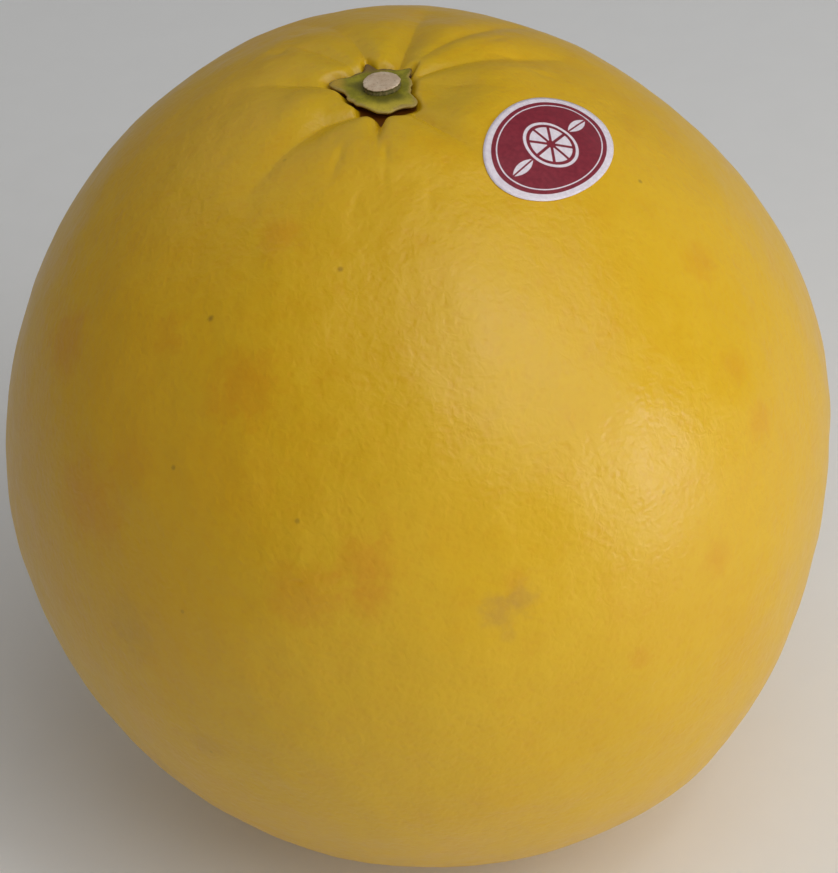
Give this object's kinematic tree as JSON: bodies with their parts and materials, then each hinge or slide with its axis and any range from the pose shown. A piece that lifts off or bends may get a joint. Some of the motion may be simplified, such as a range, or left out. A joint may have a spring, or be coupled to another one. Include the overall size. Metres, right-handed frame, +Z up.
{
  "type": "pomelo",
  "caption": "Large round golden-yellow citrus fruit with a pleated stalk end, a green calyx, a cut stub of stalk and a plain oval label.",
  "frame": {"origin": "centre of the bounding box at table level, on the small flat the fruit rests on", "axes": "+Z up along the stalk's axis, -Y towards the side the label's shoulder and the front of the calyx face"},
  "size_m": [0.2014, 0.2063, 0.2075],
  "materials": {
    "rind": "satin",
    "calyx": "matte",
    "stem": "matte",
    "label": "satin"
  },
  "bodies": {
    "root": {"fruit": "rind", "calyx": "calyx", "stem_stub": "stem", "label": "label"}
  },
  "joints": []
}
